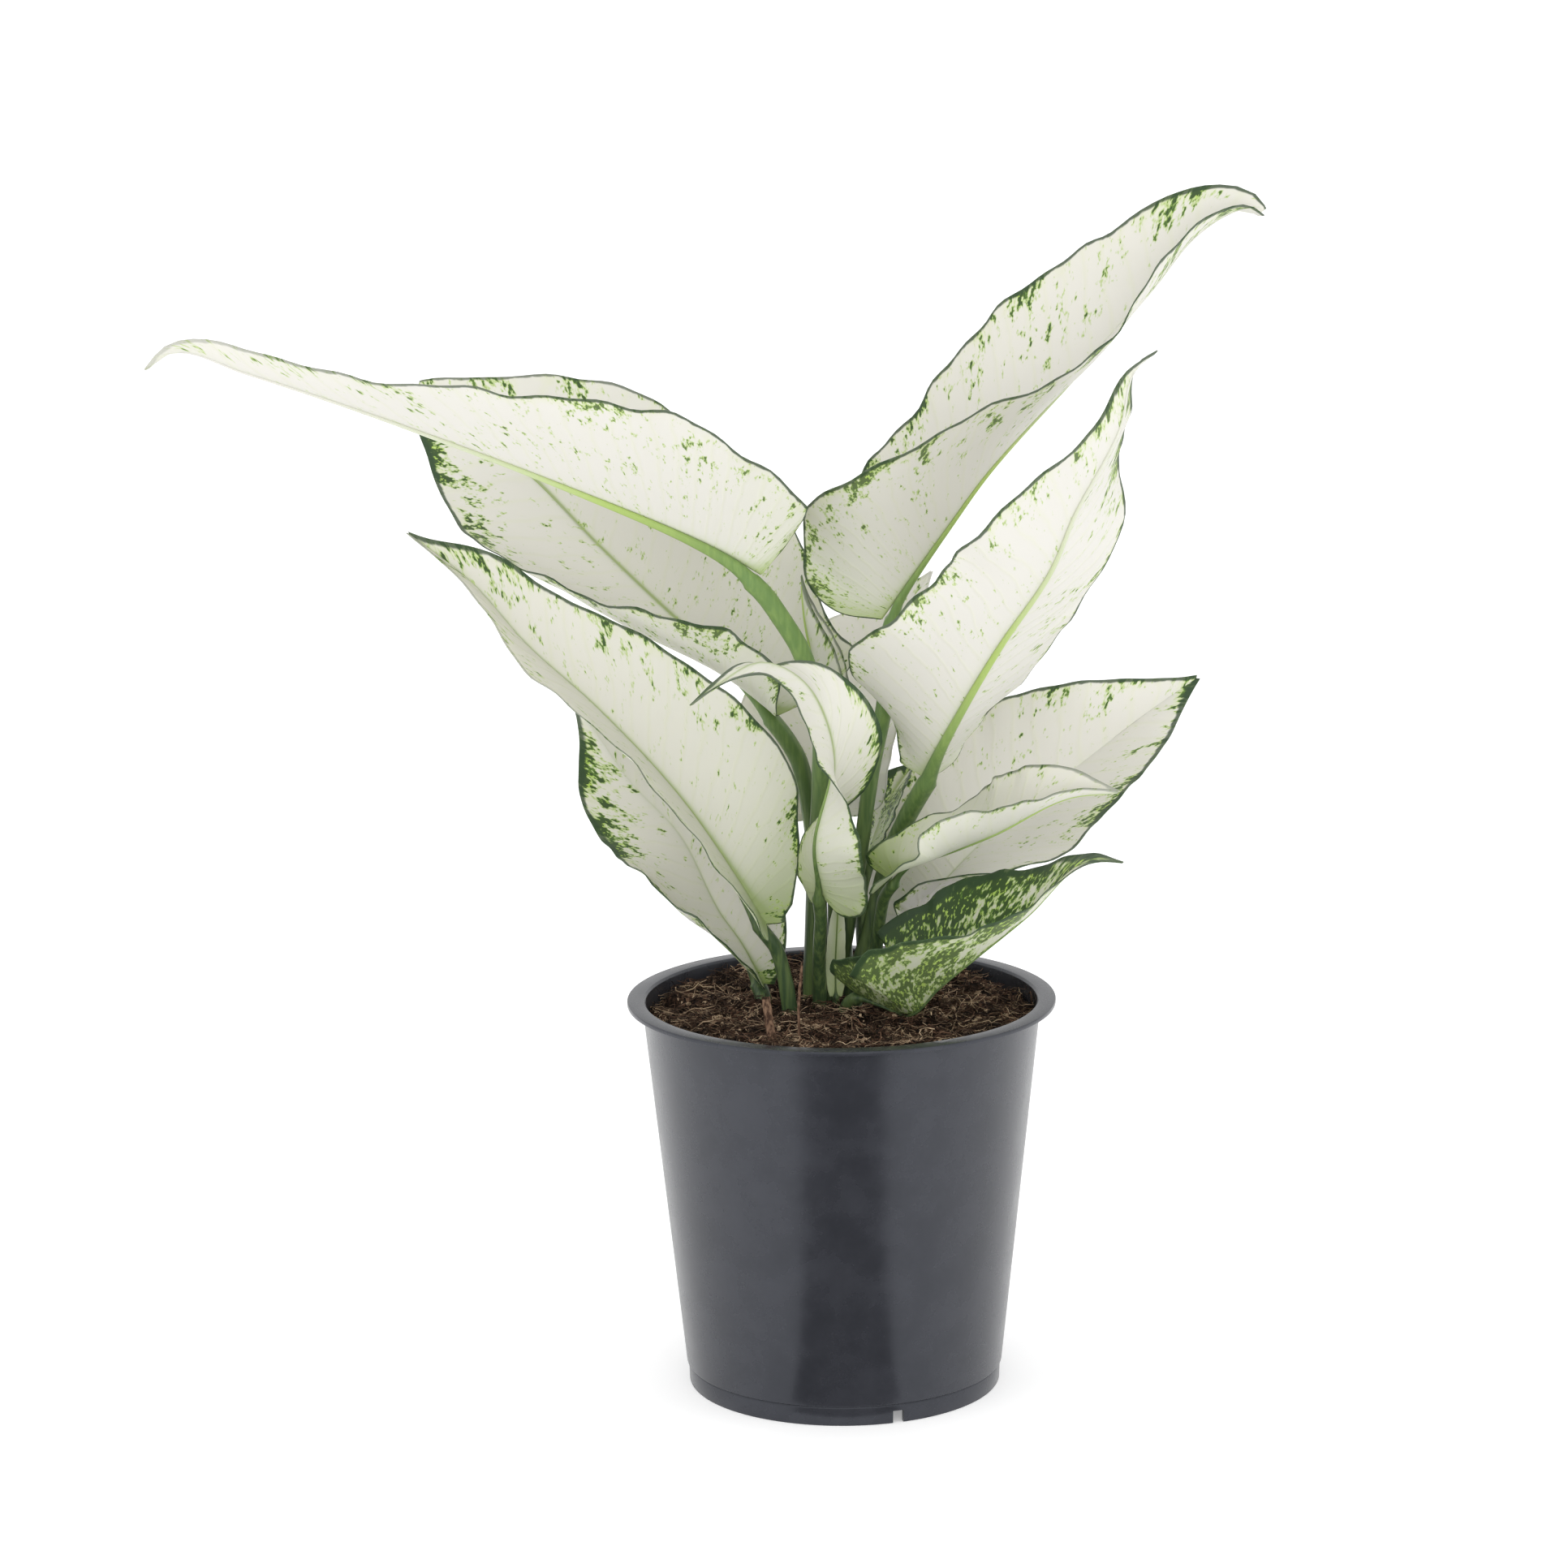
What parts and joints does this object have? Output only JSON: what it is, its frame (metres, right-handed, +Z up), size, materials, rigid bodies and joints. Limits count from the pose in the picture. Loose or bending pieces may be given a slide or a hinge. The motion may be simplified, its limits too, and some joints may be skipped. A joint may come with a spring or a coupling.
{
  "type": "potted white joy chinese evergreen",
  "caption": "Young aroid house plant with white, green-edged and green-speckled leaves on petioles, standing in soil in a tapered dark nursery pot with a flat rim flange.",
  "frame": {"origin": "centre of the pot's underside, on the surface that the pot stands on", "axes": "+Z up the pot's axis, -Y towards the viewer of the picture, +X to the viewer's right"},
  "size_m": [0.3022, 0.1543, 0.3354],
  "materials": {
    "pot_plastic": "satin moulded plastic, near black",
    "potting_soil": "loose brown fibrous peat",
    "dried_stalk": "dry, papery, brown",
    "leaf_white": "soft satin leaf, cream white with green margin and specks",
    "leaf_mottled": "satin leaf, dark green mottled with cream"
  },
  "bodies": {
    "root": {"pot": "pot_plastic", "soil": "potting_soil", "dried_stalk_thick": "dried_stalk", "dried_stalk_thin": "dried_stalk", "leaf_long_left": "leaf_white", "leaf_back_left": "leaf_white", "leaf_broad_left": "leaf_white", "leaf_low_left": "leaf_white", "leaf_top_right": "leaf_white", "leaf_upright_right": "leaf_white", "leaf_back_right": "leaf_white", "leaf_folded_right": "leaf_white", "leaf_low_front": "leaf_mottled", "leaf_hooked_front": "leaf_white", "leaf_small_inner": "leaf_white", "leaf_rolled_centre": "leaf_white", "leaf_sheath": "leaf_white", "leaf_shaded_back": "leaf_white"}
  },
  "joints": []
}
